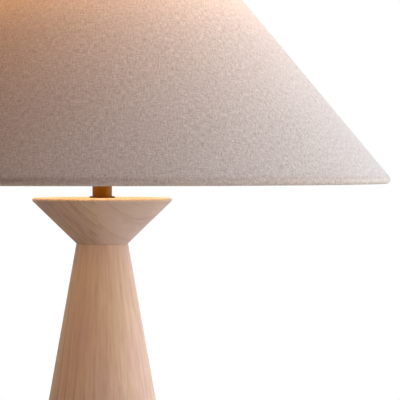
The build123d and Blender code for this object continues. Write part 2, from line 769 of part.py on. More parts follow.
pieces = {
    "felt_pad": felt_pad(),
    "base_weight": base_weight(),
    "column": column(),
    "cord_bushing": cord_bushing(),
    "capital": capital(),
    "lamp_pipe": lamp_pipe(),
    "pipe_washer": pipe_washer(),
    "pipe_nut": pipe_nut(),
    "check_ring": check_ring(),
    "neck": neck(),
    "harp_saddle": harp_saddle(),
    "harp_bow": harp_bow(),
    "harp_stud": harp_stud(),
    "ferrule_left": ferrule(-1),
    "ferrule_right": ferrule(1),
    "socket_cap": socket_cap(),
    "socket_shell": socket_shell(),
    "shell_liner": shell_liner(),
    "socket_core": socket_core(),
    "terminal_screws": terminal_screws(),
    "screw_shell": screw_shell(),
    "centre_contact": centre_contact(),
    "switch_spindle": switch_spindle(),
    "switch_knob": switch_knob(),
    "bulb_contact": bulb_contact(),
    "bulb_insulator": bulb_insulator(),
    "bulb_base": bulb_base(),
    "bulb_globe": bulb_globe(),
    "bulb_stem": bulb_stem(),
    "bulb_filaments": bulb_filaments(),
    "shade_cover": shade_cover(),
    "shade_liner": shade_liner(),
    "bottom_ring": ring_at(bottom_wire),
    "top_ring": ring_at(top_wire),
    "spider_washer": spider_washer(),
    "spider_arms": spider_arms(),
    "finial": finial(),
}

os.makedirs("parts", exist_ok=True)
for name, shape in pieces.items():
    export_step(shape, f"parts/{name}.step")
print(len(pieces), "pieces, height", round(finial_bottom, 1), "to the finial's foot")
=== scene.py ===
# %% [markdown]
# # A wooden table lamp, dressed and lit
# The construction comes in as a fixed frame: every turned, bent and pressed piece is there at
# its real size. This lesson adds what a workshop adds last, which is cloth, finishes and light.
# All lengths are in metres, +Z is up and the viewer stands at -Y.

# %% Load the frame
import bmesh
import bpy
from math import acos, atan2, cos, degrees, hypot, pi, radians, sin
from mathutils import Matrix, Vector


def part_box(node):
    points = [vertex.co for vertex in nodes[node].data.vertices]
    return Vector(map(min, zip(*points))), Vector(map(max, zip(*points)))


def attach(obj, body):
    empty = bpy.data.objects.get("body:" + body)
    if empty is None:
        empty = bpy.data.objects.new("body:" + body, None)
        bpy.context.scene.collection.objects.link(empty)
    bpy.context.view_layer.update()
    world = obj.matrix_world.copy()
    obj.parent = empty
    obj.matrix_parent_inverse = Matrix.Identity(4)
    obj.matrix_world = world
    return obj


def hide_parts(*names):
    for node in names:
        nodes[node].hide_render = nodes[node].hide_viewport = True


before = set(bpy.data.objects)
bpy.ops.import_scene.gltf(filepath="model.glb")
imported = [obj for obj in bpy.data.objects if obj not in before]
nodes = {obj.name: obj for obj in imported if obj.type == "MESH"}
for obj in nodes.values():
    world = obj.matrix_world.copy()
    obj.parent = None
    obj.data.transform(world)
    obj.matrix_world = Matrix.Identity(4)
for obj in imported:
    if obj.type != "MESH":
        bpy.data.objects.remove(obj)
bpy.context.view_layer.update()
MM = 0.001

# %% [markdown]
# ## The camera
# The photograph is a tight crop: the lamp's axis stands left of the middle, the shade runs out
# of the frame at the top and on the left, and the column at the bottom. A long lens from two
# metres keeps the shade's lower edge nearly straight, as it is there. The camera looks straight
# along +Y, a little downwards, so the crop needs no lens shift.

# %% Camera
CAMERA_PLACE = Vector((0.0952, -2.0328, 0.4390))
CAMERA_PITCH = 0.0168
CAMERA_LENS = 188.0

camera_data = bpy.data.cameras.new("photo_camera")
camera_data.sensor_width = 36.0
camera_data.lens = CAMERA_LENS
camera = bpy.data.objects.new("photo_camera", camera_data)
camera.location = CAMERA_PLACE
camera.rotation_euler = (pi / 2 - CAMERA_PITCH, 0, 0)
bpy.context.collection.objects.link(camera)
bpy.context.scene.camera = camera
bpy.context.scene.view_settings.view_transform = "Standard"
print("camera", tuple(camera.location), "lens", camera_data.lens, "mm")

# %% [markdown]
# ## Small helpers
# Colours are picked as the eye sees them on a screen, so they are written as sRGB hex and turned
# to linear light by one function. Materials are built by code instead of by hand in the editor:
# one function adds a node, sets it and links it, which keeps every recipe short. Nearly every
# finish has an uneven pattern with a size that could be measured, so one more helper makes such
# a pattern from that size.

# %% Helpers for colours, nodes and patterns


def linear(code):
    """An sRGB hex colour as linear red, green, blue and alpha."""
    shares = [int(code[i:i + 2], 16) / 255 for i in (1, 3, 5)]
    curve = [c / 12.92 if c <= 0.04045 else ((c + 0.055) / 1.055) ** 2.4 for c in shares]
    return (*curve, 1.0)


def add(tree, kind, settings=None, inputs=None):
    """Adds a shader node. An input is a value, a node (its first output) or (node, output name)."""
    node = tree.nodes.new("ShaderNode" + kind)
    for name, value in (settings or {}).items():
        setattr(node, name, value)
    for name, value in (inputs or {}).items():
        if isinstance(name, int):
            socket = node.inputs[name]
        else:
            socket = next(s for s in node.inputs if s.enabled and s.name == name)
        if isinstance(value, bpy.types.Node):
            tree.links.new(next(s for s in value.outputs if s.enabled), socket)
        elif isinstance(value, tuple) and isinstance(value[0], bpy.types.Node):
            tree.links.new(next(s for s in value[0].outputs if s.name == value[1]), socket)
        else:
            socket.default_value = value
    return node


def mottle(tree, where, size, detail=2.0):
    """An uneven pattern from 0 to 1. Its patches have one real size, or one each along X, Y, Z."""
    sizes = size if isinstance(size, tuple) else (size, size, size)
    counted = add(tree, "VectorMath", {"operation": "DIVIDE"}, {0: where, 1: sizes})
    return add(tree, "TexNoise", None, {"Vector": counted, "Scale": 1.0, "Detail": detail})


def new_material(name):
    """A material with an empty tree, the output that its shader goes to, and the object's space."""
    material = bpy.data.materials.new(name)
    material.use_nodes = True
    tree = material.node_tree
    tree.nodes.clear()
    return material, tree, add(tree, "OutputMaterial"), (add(tree, "TexCoord"), "Object")


def finish_with(tree, output, shader):
    """Sends a shader to the material's output."""
    tree.links.new(shader.outputs[0], output.inputs["Surface"])


def dress(material, *names):
    """Gives CAD pieces a finish."""
    for name in names:
        nodes[name].material_slots[0].material = material
    print(material.name, "on", ", ".join(names))


print("helpers ready")

# %% [markdown]
# ## Studio light
# The photograph is lit from the right by something as large as a wall: the shade grows steadily
# brighter towards its right-hand side, with no hard edge. A two-metre area lamp close by does
# that. The right-hand edges of the shade and the column turn bluish as well, so a weak lamp stands
# behind on the right, like a window with sky in it. The rest is a dim, slightly warm world, which
# stands for a room's walls: a little brighter in front on the right, dark behind. The background is
# plain white to the camera and in reflections only, so it adds no light.

# %% Lamps
LAMP_AIM = Vector((0.0, 0.0, 0.42))
KEY_LIGHT = "#d7eafc"
KEY_SIZE = 2.0
KEY_PLACE = Vector((1.35, -0.15, 0.80))
KEY_POWER = 41.6
WINDOW_LIGHT = "#b9d8ff"
WINDOW_SIZE = 0.8
WINDOW_PLACE = Vector((1.1, 0.9, 0.6))
WINDOW_POWER = 5.0


def new_lamp(name, kind, power, colour, place):
    """Puts a lamp of Blender's own in the scene."""
    data = bpy.data.lights.new(name, kind)
    data.energy = power
    data.color = linear(colour)[:3]
    lamp = bpy.data.objects.new(name, data)
    lamp.location = place
    bpy.context.collection.objects.link(lamp)
    print(name, power, "W at", tuple(place))
    return lamp


def square_lamp(name, power, colour, place, size):
    """A large, soft lamp that looks at the middle of the object."""
    lamp = new_lamp(name, "AREA", power, colour, place)
    lamp.data.shape = "SQUARE"
    lamp.data.size = size
    lamp.rotation_euler = (LAMP_AIM - place).to_track_quat("-Z", "Y").to_euler()


square_lamp("key_wall", KEY_POWER, KEY_LIGHT, KEY_PLACE, KEY_SIZE)
square_lamp("window", WINDOW_POWER, WINDOW_LIGHT, WINDOW_PLACE, WINDOW_SIZE)

# %% World
ROOM_FAR = "#504442"
ROOM_NEAR = "#9d837d"
ROOM_BRIGHT_SIDE = Vector((0.3, -0.95, 0.0))
# The cosine, measured from the bright side, at which the walls are as dark as they get.
ROOM_DARK_FROM = -0.2

world = bpy.data.worlds.new("studio")
bpy.context.scene.world = world
world.use_nodes = True
sky = world.node_tree
sky.nodes.clear()
path = add(sky, "LightPath")
seen = add(sky, "Math", {"operation": "ADD", "use_clamp": True},
           {0: (path, "Is Camera Ray"), 1: (path, "Is Glossy Ray")})
seen = add(sky, "Math", {"operation": "ADD", "use_clamp": True},
           {0: seen, 1: (path, "Is Transmission Ray")})
facing = add(sky, "VectorMath", {"operation": "DOT_PRODUCT"},
             {0: (add(sky, "TexCoord"), "Generated"), 1: ROOM_BRIGHT_SIDE})
share = add(sky, "MapRange", None,
            {"Value": (facing, "Value"), "From Min": ROOM_DARK_FROM, "From Max": 1.0})
walls = add(sky, "Mix", {"data_type": "RGBA"},
            {"Factor": share, "A": linear(ROOM_FAR), "B": linear(ROOM_NEAR)})
room = add(sky, "Background", None, {"Color": walls, "Strength": 1.0})
white = add(sky, "Background", None, {"Color": (1, 1, 1, 1), "Strength": 1.0})
both = add(sky, "MixShader", None, {"Fac": seen, 1: room, 2: white})
add(sky, "OutputWorld", None, {"Surface": both})
print("world from", ROOM_FAR, "behind to", ROOM_NEAR, "in front")

# %% [markdown]
# ## The floor
# The lamp needs something to stand on, so that its shadow shows from above. A pale disc would
# show its rim against the white world, so its paint fades to plain white towards the rim. Seen from
# below the disc is left out, or it would hide the lamp's foot, and a hole under the foot lets light
# reach the felt there.

# %% Floor
FLOOR_RADIUS = 1.5
FLOOR_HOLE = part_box("felt_pad")[1].x - 2 * MM
FLOOR_CORNERS = 96
FLOOR_FADE_START = 0.3
FLOOR_FADE_END = 1.1
FLOOR_LEAST_FADE = 0.3
PAINT_GRAIN = 30 * MM


def floor_paint():
    # Matt emulsion paint, rolled: an even, dull white in which the roller leaves faint patches.
    material, tree, output, place = new_material("floor_matt_white_paint")
    away = add(tree, "VectorMath", {"operation": "LENGTH"}, {0: place})
    fade = add(tree, "MapRange", {"interpolation_type": "SMOOTHSTEP"},
               {"Value": (away, "Value"), "From Min": FLOOR_FADE_START, "From Max": FLOOR_FADE_END,
                "To Min": FLOOR_LEAST_FADE})
    grain = mottle(tree, place, PAINT_GRAIN)
    tone = add(tree, "Mix", {"data_type": "RGBA"},
               {"Factor": grain, "A": linear("#ededec"), "B": linear("#f4f4f3")})
    paint = add(tree, "BsdfPrincipled", None, {"Base Color": tone, "Roughness": 0.8})
    glow = add(tree, "Emission", None, {"Color": (1, 1, 1, 1), "Strength": 1.0})
    rays = add(tree, "LightPath")
    shown = add(tree, "Math", {"operation": "MULTIPLY"}, {0: fade, 1: (rays, "Is Camera Ray")})
    above = add(tree, "MixShader", None, {"Fac": shown, 1: paint, 2: glow})
    below = add(tree, "Math", {"operation": "MULTIPLY"},
                {0: (add(tree, "NewGeometry"), "Backfacing"), 1: (rays, "Is Camera Ray")})
    clear = add(tree, "BsdfTransparent")
    finish_with(tree, output, add(tree, "MixShader", None, {"Fac": below, 1: above, 2: clear}))
    return material


def around(count):
    """The angles of points spread evenly round a circle."""
    return [2 * pi * k / count for k in range(count)]


def floor_mesh():
    """A flat ring of quads."""
    turns = around(FLOOR_CORNERS)
    points = [(r * cos(a), r * sin(a), 0.0) for r in (FLOOR_HOLE, FLOOR_RADIUS) for a in turns]
    following = [(k + 1) % FLOOR_CORNERS for k in range(FLOOR_CORNERS)]
    faces = [(k, FLOOR_CORNERS + k, FLOOR_CORNERS + n, n) for k, n in enumerate(following)]
    mesh = bpy.data.meshes.new("floor")
    mesh.from_pydata(points, [], faces)
    return mesh


floor = bpy.data.objects.new("floor", floor_mesh())
floor.data.materials.append(floor_paint())
bpy.context.collection.objects.link(floor)
print("floor", FLOOR_RADIUS, "m in radius")

# %% [markdown]
# ## The lit bulb
# The lamp is switched on. A round lamp inside the bulb's glass gives the light, because Blender
# samples a lamp with far less noise than a glowing mesh. The glass casts no shadow of its own, so
# the light gets out. A frosted bulb also shines more from its dome than from its neck, and a disc
# that looks upwards adds that share, which is what makes the shade warmest near its top.

# %% Light in the bulb
globe_low, globe_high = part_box("bulb_globe")
GLOBE_RADIUS = globe_high.x
BULB_LIGHT = "#ffe0a6"
BULB_POWER = 1.32
DOME_POWER = 0.43
GLASS_CLEARANCE = 2 * MM

bulb_middle = Vector((0, 0, globe_high.z - GLOBE_RADIUS))
round_lamp = new_lamp("bulb_round", "POINT", BULB_POWER, BULB_LIGHT, bulb_middle)
round_lamp.data.shadow_soft_size = GLOBE_RADIUS - GLASS_CLEARANCE

dome_lamp = new_lamp("bulb_dome", "AREA", DOME_POWER, BULB_LIGHT, bulb_middle)
dome_lamp.data.shape = "DISK"
dome_lamp.data.size = GLOBE_RADIUS
dome_lamp.rotation_euler = (pi, 0, 0)
nodes["bulb_globe"].visible_shadow = False

# %% [markdown]
# ## Turned and rolled skins
# The soft and thin pieces of this lamp are all rings of points joined by quads: the cloth round
# its wires, the felt under the foot, the rolled thread of the bulb's cap. Spinning a curve with a
# modifier could do it, but rings made by code can also carry a lap, a notch or a thread, so one
# function joins the rings.

# %% Joining rings of points
SHARP_EDGE = radians(50)


def skin(name, rings, closed=True, left_out=(), extra=()):
    """A mesh of quads over rings of points. A closed skin joins its last ring to its first."""
    count = len(rings[0])
    rows = len(rings)
    faces = []
    for i in range(rows if closed else rows - 1):
        j = (i + 1) % rows
        for k in range(count):
            n = (k + 1) % count
            if (i, k) not in left_out:
                faces.append((i * count + k, i * count + n, j * count + n, j * count + k))
    if not closed:
        faces.append(tuple(range(count)))
        faces.append(tuple(range((rows - 1) * count, rows * count)))
    faces += [tuple(i * count + k for i, k in face) for face in extra]
    mesh = bpy.data.meshes.new(name)
    mesh.from_pydata([point for ring in rings for point in ring], [], faces)
    return mesh


def tidy_faces(mesh, sharp_angle=SHARP_EDGE):
    """Drops loose points, turns every face outwards and smooths all but the sharp edges."""
    work = bmesh.new()
    work.from_mesh(mesh)
    loose = [vertex for vertex in work.verts if not vertex.link_faces]
    bmesh.ops.delete(work, geom=loose, context="VERTS")
    bmesh.ops.recalc_face_normals(work, faces=work.faces)
    work.to_mesh(mesh)
    work.free()
    for face in mesh.polygons:
        face.use_smooth = True
    mesh.set_sharp_from_angle(angle=sharp_angle)


def place_piece(mesh, body, slot, *replaced):
    """Puts a mesh in the scene as a piece that rides on a body and may stand for CAD nodes."""
    piece = bpy.data.objects.new(mesh.name, mesh)
    bpy.context.collection.objects.link(piece)
    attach(piece, body)
    if replaced:
        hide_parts(*replaced)
    print(piece.name, len(mesh.polygons), "faces on", body)
    return piece


print("ring helpers ready")

# %% [markdown]
# ## The linen cover
# The shade is one piece of linen, cut as a ring sector and glued to a stiff sheet. Its edges roll
# round two ring wires and are glued down inside. A cone from the Add menu has no hems and no
# seam, so the cover is turned from its real section: the roll below, the slant, the roll above.
# The section has the cloth's thickness, and the cloth laps over itself at the back.

# %% Sizes of the shade, read from its rings
HEM_TURN_IN = 8 * MM
CLOTH = 1.0 * MM
HEM_LIE = 0.65 * MM


def ring_wire(name):
    """A ring wire's middle, as (radius, height), and the wire's own radius."""
    low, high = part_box(name)
    wire = (high.z - low.z) / 2
    return Vector((high.x - wire, (high.z + low.z) / 2)), wire


bottom_wire, _ = ring_wire("bottom_ring")
top_wire, wire_radius = ring_wire("top_ring")
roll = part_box("shade_cover")[1].x - bottom_wire.x
up = (top_wire - bottom_wire).normalized()
out = Vector((up.y, -up.x))
slant = (top_wire - bottom_wire).length
half_angle_sine = -up.x
print("slant", round(slant, 4), "m, roll", round(roll, 5), "m")

# %% The cloth's section
ROLL_STEPS = 16
NEAR_STEP = 0.6 * MM
NEAR_STEPS = 23
SLANT_STEPS = 18


def hem_section(wire, inwards, depth):
    """Points from the slant round a ring wire to the glued edge, depth inside the face."""
    radius = roll - depth
    lie = HEM_LIE + depth
    leave = atan2(lie, HEM_TURN_IN) - acos(radius / hypot(HEM_TURN_IN, lie))
    turns = [pi / 2 + (1.5 * pi + leave) * i / ROLL_STEPS for i in range(ROLL_STEPS + 1)]
    points = [wire + up * inwards * radius * cos(a) + out * radius * sin(a) for a in turns]
    return points + [wire + up * inwards * HEM_TURN_IN + out * lie]


def cover_section(depth):
    """The cover's section from the bottom hem's edge, over the slant, to the top hem's edge."""
    near = [NEAR_STEP * i for i in range(1, NEAR_STEPS + 1)]
    middle = [near[-1] + (slant - 2 * near[-1]) * i / SLANT_STEPS for i in range(1, SLANT_STEPS)]
    stations = near + middle + [slant - n for n in reversed(near)]
    face = [bottom_wire + up * s + out * (roll - depth) for s in stations]
    below = hem_section(bottom_wire, 1, depth)
    above = hem_section(top_wire, -1, depth)
    return below[::-1] + face + above


outside = cover_section(0.0)
inside = cover_section(CLOTH)
section = outside + inside[::-1]
print(len(outside), "points on the cloth's face")

# %% [markdown]
# The lap at the back keeps one width from top to bottom, so its columns stand at a fixed distance
# from the seam, and the other columns share the rest of the circle. Where the spider's three arms
# reach the top ring, the hem is cut away round them: there the last rows of the section end early.
# Flat coordinates, as on the cutting table, are kept as a UV map that starts at the lap's edge: the
# weave then runs straight through the cloth and turns round the cone, as on a real cone shade.

# %% Columns, notches and flat lengths
SEAM_ANGLE = radians(112)
FRONT_ANGLE = radians(-90)
# Where the lap's columns stand, in mm from the seam, and how far each is lifted.
LAP_STEPS = [-9.0, -7.0, -6.7, -6.4, -5.5, 0.0, 4.5, 6.0, 7.5, 9.0]
LAP_RISE = [0.0, 0.0, 0.45, 0.7, 0.7, 0.7, 0.7, 0.45, 0.12, 0.0]
LAP_EDGE = 2
COLUMNS = 300
ARM_ANGLES = [radians(a) for a in (90, 210, 330)]
NOTCH_HALF_WIDTH = 2.8 * MM
NOTCH_ROLL_START = 7


def column_angles(radius):
    """The angle of every column of the cover at a radius, starting at the lap."""
    lap = [SEAM_ANGLE + step * MM / radius for step in LAP_STEPS]
    rest = lap[0] + 2 * pi - lap[-1]
    return lap + [lap[-1] + rest * i / COLUMNS for i in range(1, COLUMNS)]


def notched_columns():
    """The columns between which the top hem is cut away, in runs, one for each arm."""
    angles = column_angles(top_wire.x)
    runs = []
    for arm in ARM_ANGLES:
        middles = [(a + b) / 2 for a, b in zip(angles, angles[1:])]
        aside = [abs((m - arm + pi) % (2 * pi) - pi) * top_wire.x for m in middles]
        runs.append([k for k, distance in enumerate(aside) if distance < NOTCH_HALF_WIDTH])
    return runs


def flat_lengths(points):
    """Distance of each section point from the cone's tip, measured along the cloth."""
    start = top_wire.x / half_angle_sine
    lengths = [0.0]
    for a, b in zip(points, points[1:]):
        lengths.append(lengths[-1] + (b - a).length)
    top_index = min(range(len(points)), key=lambda i: (points[i] - (top_wire + out * roll)).length)
    return [start + lengths[top_index] - length for length in lengths]


flats = flat_lengths(outside)
print("notches at columns", notched_columns())
print("flat from", round(min(flats), 4), "to", round(max(flats), 4), "m")

# %% The cover's mesh


def notch_faces():
    """The quads that a notch leaves out, and the cut edges that take their place."""
    last = len(outside) - 1
    start = last - (ROLL_STEPS + 1) + NOTCH_ROLL_START
    across = 2 * len(outside) - 1
    left_out, cut = set(), []
    for run in notched_columns():
        for k in run:
            left_out |= {(i, k) for i in range(start, across - start)}
            cut.append(((start, k), (start, k + 1), (across - start, k + 1), (across - start, k)))
        for k in (run[0], run[-1] + 1):
            cut += [((i, k), (i + 1, k), (across - i - 1, k), (across - i, k))
                    for i in range(start, last)]
    return left_out, cut


def cover_mesh():
    """The cloth as rings of points, with its flat coordinates and its two sides marked."""
    rises = [r * MM for r in LAP_RISE] + [0.0] * (COLUMNS - 1)
    rings, charts = [], []
    for i, (place, flat) in enumerate(zip(section, flats + flats[::-1])):
        ring = []
        for k, (angle, rise) in enumerate(zip(column_angles(place.x), rises)):
            spot = place + out * (rise if i < len(outside) else 0.0)
            ring.append((spot.x * cos(angle), spot.x * sin(angle), spot.y))
            turn = angle - FRONT_ANGLE - (0 if k < LAP_EDGE else 2 * pi)
            charts.append((flat * sin(turn * half_angle_sine), flat * cos(turn * half_angle_sine)))
        rings.append(ring)
    left_out, cut = notch_faces()
    mesh = skin("linen_cover", rings, left_out=left_out, extra=cut)
    chart = mesh.uv_layers.new(name="flat_cloth")
    for loop in mesh.loops:
        chart.data[loop.index].uv = charts[loop.vertex_index]
    on_face = len(outside) * len(rises)
    for face in mesh.polygons:
        face.material_index = 0 if all(v < on_face for v in face.vertices) else 1
    tidy_faces(mesh)
    return mesh


cover = place_piece(cover_mesh(), "shade", "linen", "shade_cover")

# %% [markdown]
# ## Linen
# Natural linen is a plain weave of flax yarns that are never quite even: thick spots sit on single
# yarns in both directions, and bits of darker stalk stay in the yarn. From two metres the weave
# itself is finer than a pixel, and the thick spots and flecks are what the eye gets. A photograph
# of cloth could be wrapped round the cone, but it would repeat, so the yarns are drawn by stretched
# patterns. Cloth also lets light through, so a share of it goes on to the far side. Along the
# rolled hems the cloth is painted a little darker and warmer: painted shade for the rolls, which
# turn down and away from the light.

# %% Linen material
DRAWN_YARN = 1.15 * MM
THICK_SPOT = 6 * MM
CROSSING = 1.5 * MM
WEAVE_FROM, WEAVE_TO = 1.05, 1.95
FLECK = 1.8 * MM
FLECK_LENGTH = 5 * MM
FLECK_FROM, FLECK_TO = 0.78, 0.86
FLECK_SHARE = 0.6
CLOUD = 60 * MM
CLOUD_SHARE = 0.06
HEM_SHADE_GONE = 3.0 * MM
LIGHT_THROUGH = 0.155
slant_middle = (bottom_wire.x + top_wire.x) / (2 * half_angle_sine)


def hem_shade_band(tree, chart):
    """Painted hem shade: 1 along the rolled hems, fading up the slant, by flat distance from the
    cone's tip.
    """
    reach = add(tree, "VectorMath", {"operation": "LENGTH"}, {0: chart})
    along = add(tree, "Math", {"operation": "SUBTRACT"}, {0: (reach, "Value"), 1: slant_middle})
    aside = add(tree, "Math", {"operation": "ABSOLUTE"}, {0: along})
    return add(tree, "MapRange", {"interpolation_type": "SMOOTHSTEP"},
               {"Value": aside, "From Min": slant / 2 - HEM_SHADE_GONE, "From Max": slant / 2})


def linen(name, glued_side=False):
    # Woven flax, unbleached: a dull, grainy beige, with a faint fuzz at a low angle.
    material, tree, output, _ = new_material(name)
    chart = add(tree, "UVMap", {"uv_map": "flat_cloth"})
    # The yarns are drawn wider than their 0.7 mm, or they'd fall between the pixels.
    weft = mottle(tree, chart, (THICK_SPOT, DRAWN_YARN, 1.0), 1.0)
    warp = mottle(tree, chart, (DRAWN_YARN, THICK_SPOT, 1.0), 1.0)
    crossings = mottle(tree, chart, (CROSSING, CROSSING, 1.0), 1.0)
    weave = add(tree, "Math", {"operation": "ADD"}, {0: weft, 1: warp})
    weave = add(tree, "Math", {"operation": "ADD"}, {0: weave, 1: crossings})
    weave = add(tree, "MapRange", None,
                {"Value": weave, "From Min": WEAVE_FROM, "From Max": WEAVE_TO})
    tone = add(tree, "Mix", {"data_type": "RGBA"},
               {"Factor": weave, "A": linear("#baa898"), "B": linear("#f0e4d9")})
    flecks = add(tree, "Math", {"operation": "MAXIMUM"},
                 {0: mottle(tree, chart, (FLECK_LENGTH, FLECK, 1.0), 0.0),
                  1: mottle(tree, chart, (FLECK, FLECK_LENGTH, 1.0), 0.0)})
    flecks = add(tree, "MapRange", None,
                 {"Value": flecks, "From Min": FLECK_FROM, "From Max": FLECK_TO,
                  "To Max": FLECK_SHARE})
    tone = add(tree, "Mix", {"data_type": "RGBA"},
               {"Factor": flecks, "A": tone, "B": linear("#8c7462")})
    clouds = mottle(tree, chart, (CLOUD, CLOUD, 1.0))
    tone = add(tree, "Mix", {"data_type": "RGBA", "blend_type": "MULTIPLY"},
               {"Factor": CLOUD_SHARE, "A": tone, "B": clouds})
    # Both hems are painted a little darker and warmer, as painted shade on the rolls.
    tone = add(tree, "Mix", {"data_type": "RGBA", "blend_type": "MULTIPLY"},
               {"Factor": hem_shade_band(tree, chart), "A": tone, "B": linear("#fcf4ed")})
    relief = add(tree, "Bump", None, {"Height": weave, "Strength": 0.2, "Distance": 0.25 * MM})
    face = add(tree, "BsdfPrincipled", None,
               {"Base Color": tone, "Roughness": 0.95, "Normal": relief, "Specular IOR Level": 0.2,
                "Sheen Weight": 0.12, "Sheen Roughness": 0.5, "Sheen Tint": linear("#fff6ec")})
    through = add(tree, "BsdfTranslucent", None, {"Color": linear("#eeceb7"), "Normal": relief})
    cloth = add(tree, "MixShader", None, {"Fac": LIGHT_THROUGH, 1: face, 2: through})
    if glued_side:
        # The side under the stiff sheet lets the bulb's light pass on to the face.
        rays = add(tree, "LightPath")
        clear = add(tree, "BsdfTransparent")
        cloth = add(tree, "MixShader", None, {"Fac": (rays, "Is Shadow Ray"), 1: cloth, 2: clear})
    finish_with(tree, output, cloth)
    return material


cover.data.materials.append(linen("linen_woven_natural"))
cover.data.materials.append(linen("linen_woven_glued_side", glued_side=True))

# %% [markdown]
# ## Inside the shade
# Under the linen lies a sheet of white styrene, which stiffens the cone. It was rolled out of a
# wide slot, so it carries faint straight lines, and it closes at the back under a strip of the same
# plastic. The strip is drawn as a thin, slightly bent bar that ends short of both hems. The ring
# wires are coated with white powder that melts to a skin like orange peel. Light passes the sheet,
# so it throws no shadow on the cloth.

# %% Seam strip
STRIP_WIDTH = 14 * MM
STRIP_THICKNESS = 0.35 * MM
STRIP_END_GAP = 2 * MM
STRIP_STEPS = 16
STRIP_COLUMNS = 6
SHEET = 0.8 * MM


def seam_strip():
    """A thin bent bar along the slant, on the inside of the sheet."""
    face = wire_radius - SHEET
    start = HEM_TURN_IN + STRIP_END_GAP
    rings = []
    for i in range(STRIP_STEPS + 1):
        along = start + (slant - 2 * start) * i / STRIP_STEPS
        ring = []
        for depth, order in ((face, 1), (face - STRIP_THICKNESS, -1)):
            spot = bottom_wire + up * along + out * depth
            shares = [k / STRIP_COLUMNS - 0.5 for k in range(STRIP_COLUMNS + 1)][::order]
            turns = [SEAM_ANGLE + share * STRIP_WIDTH / spot.x for share in shares]
            ring += [(spot.x * cos(a), spot.x * sin(a), spot.y) for a in turns]
        rings.append(ring)
    mesh = skin("liner_seam_strip", rings, closed=False)
    tidy_faces(mesh)
    return mesh


strip = place_piece(seam_strip(), "shade", "styrene")

# %% Styrene and powder coat
DIE_LINE = 2.5 * MM
DIE_LINE_LENGTH = 150 * MM
PEEL = 1.2 * MM


def styrene():
    # Extruded polystyrene sheet: a milky white with a soft gloss and faint lines from the slot.
    material, tree, output, place = new_material("styrene_extruded_sheet")
    lines = mottle(tree, place, (DIE_LINE, DIE_LINE, DIE_LINE_LENGTH))
    tone = add(tree, "Mix", {"data_type": "RGBA"},
               {"Factor": lines, "A": linear("#e9e6dd"), "B": linear("#f5f2ea")})
    gloss = add(tree, "MapRange", None, {"Value": lines, "To Min": 0.34, "To Max": 0.46})
    relief = add(tree, "Bump", None, {"Height": lines, "Strength": 0.1, "Distance": 0.05 * MM})
    body = add(tree, "BsdfPrincipled", None,
               {"Base Color": tone, "Roughness": gloss, "IOR": 1.59, "Normal": relief})
    finish_with(tree, output, body)
    return material


def powder_coat():
    # Powder paint, baked on wire: white, half glossy, with the dimples of orange peel.
    material, tree, output, place = new_material("steel_wire_powder_coated_white")
    peel = mottle(tree, place, PEEL)
    tone = add(tree, "Mix", {"data_type": "RGBA"},
               {"Factor": peel, "A": linear("#e6e4de"), "B": linear("#efede7")})
    relief = add(tree, "Bump", None, {"Height": peel, "Strength": 0.25, "Distance": 0.1 * MM})
    body = add(tree, "BsdfPrincipled", None,
               {"Base Color": tone, "Roughness": 0.35, "Normal": relief})
    finish_with(tree, output, body)
    return material


sheet_styrene = styrene()
dress(sheet_styrene, "shade_liner")
strip.data.materials.append(sheet_styrene)
for piece in (nodes["shade_liner"], strip):
    piece.visible_shadow = False
dress(powder_coat(), "top_ring", "bottom_ring")

# %% [markdown]
# ## Wood
# The column and the capital are turned from pale ash, glued up from two boards. Grain is not paint:
# it is where the surface cuts the tree's growth rings. So the rings are drawn in space: each board
# has a direction towards the bark, a width of ring and a place where the first ring starts. The
# rings are gently bent sheets across that direction, and the turned shapes cut them into straight
# lines, stripes and arches by themselves. The column's boards are sawn to its taper before they are
# glued, so its grain closes up towards the top. Along the rings run finer streaks, where the wood's
# vessels are cut open lengthwise.

# %% Rings in space
GLUE_LINE = -2 * MM
GLUE_LINE_BLUR = 0.4 * MM
TONE_BLUR = 6 * MM
RING_BEND = 250 * MM
WANDER = (45 * MM, 45 * MM, 150 * MM)
WANDER_DEPTH = 7 * MM
CROWDING = (14 * MM, 90 * MM, 500 * MM)
CROWDING_DEPTH = 6 * MM
TAPER_TIP = 505 * MM
TAPER_TRUE = 300 * MM


def by_board(tree, board, kind, values):
    """A value that differs between the left and the right board."""
    return add(tree, "Mix", {"data_type": kind}, {"Factor": board, "A": values[0], "B": values[1]})


def tapered(tree, place):
    """A place in the column as it was in the plank: spread wider towards the tip of the cone."""
    height = (add(tree, "SeparateXYZ", None, {0: place}), "Z")
    below_tip = add(tree, "Math", {"operation": "SUBTRACT"}, {0: TAPER_TIP, 1: height})
    spread = add(tree, "Math", {"operation": "DIVIDE"}, {0: TAPER_TIP - TAPER_TRUE, 1: below_tip})
    return add(tree, "VectorMath", {"operation": "SCALE"}, {0: place, "Scale": spread})


def ring_space(tree, place, board, barks, taper):
    """A point's place among the rings: how deep, how far along a ring, and how high."""
    sides = [(-bark[1], bark[0], 0.0) for bark in barks]
    plank = tapered(tree, place) if taper else place
    deep = add(tree, "VectorMath", {"operation": "DOT_PRODUCT"},
               {0: plank, 1: by_board(tree, board, "VECTOR", barks)})
    side = add(tree, "VectorMath", {"operation": "DOT_PRODUCT"},
               {0: plank, 1: by_board(tree, board, "VECTOR", sides)})
    bend = add(tree, "Math", {"operation": "MULTIPLY"}, {0: (side, "Value"), 1: (side, "Value")})
    deep = add(tree, "Math", {"operation": "MULTIPLY_ADD"},
               {0: bend, 1: 1 / (2 * RING_BEND), 2: (deep, "Value")})
    deep = add(tree, "Math", {"operation": "MULTIPLY_ADD"},
               {0: mottle(tree, place, WANDER), 1: WANDER_DEPTH, 2: deep})
    height = (add(tree, "SeparateXYZ", None, {0: place}), "Z")
    return add(tree, "CombineXYZ", None, {"X": deep, "Y": (side, "Value"), "Z": height})


# %% Wood material
STREAK = (1.5 * MM, 12 * MM, 22 * MM)
BAND = (5 * MM, 16 * MM, 70 * MM)
PATCH = (30 * MM, 30 * MM, 90 * MM)
RING_PATCH = (28 * MM, 28 * MM, 110 * MM)
